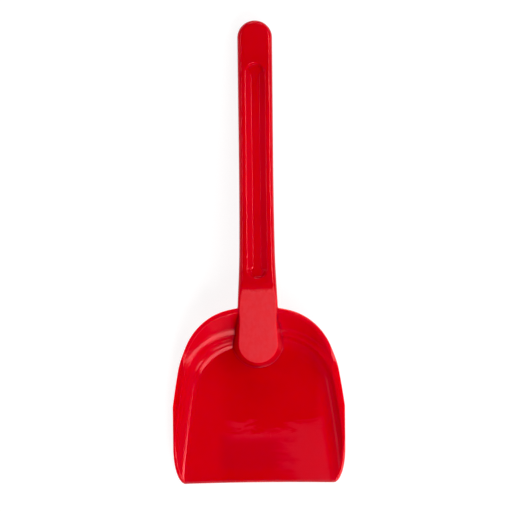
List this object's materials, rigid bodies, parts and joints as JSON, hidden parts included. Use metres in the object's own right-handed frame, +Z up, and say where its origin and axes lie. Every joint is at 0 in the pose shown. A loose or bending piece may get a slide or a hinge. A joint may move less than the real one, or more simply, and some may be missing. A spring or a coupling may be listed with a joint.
{
  "type": "beach sand scoop",
  "caption": "Toy sand scoop with a D-shaped pan, a low sloping rim and a long grip with a shallow channel along its top, in glossy red plastic.",
  "frame": {"origin": "on the ground, under the middle of the scoop's bounding box", "axes": "+Y along the scoop towards the handle's tip, +Z up out of the open pan, +X to the right seen from above with the handle away"},
  "size_m": [0.093, 0.25, 0.0292],
  "materials": {
    "pan_plastic": "glossy moulded red polypropylene",
    "handle_plastic": "glossy moulded red polypropylene, with a finely grained tongue"
  },
  "bodies": {
    "root": {"scoop_pan": "pan_plastic", "handle": "handle_plastic"}
  },
  "joints": []
}
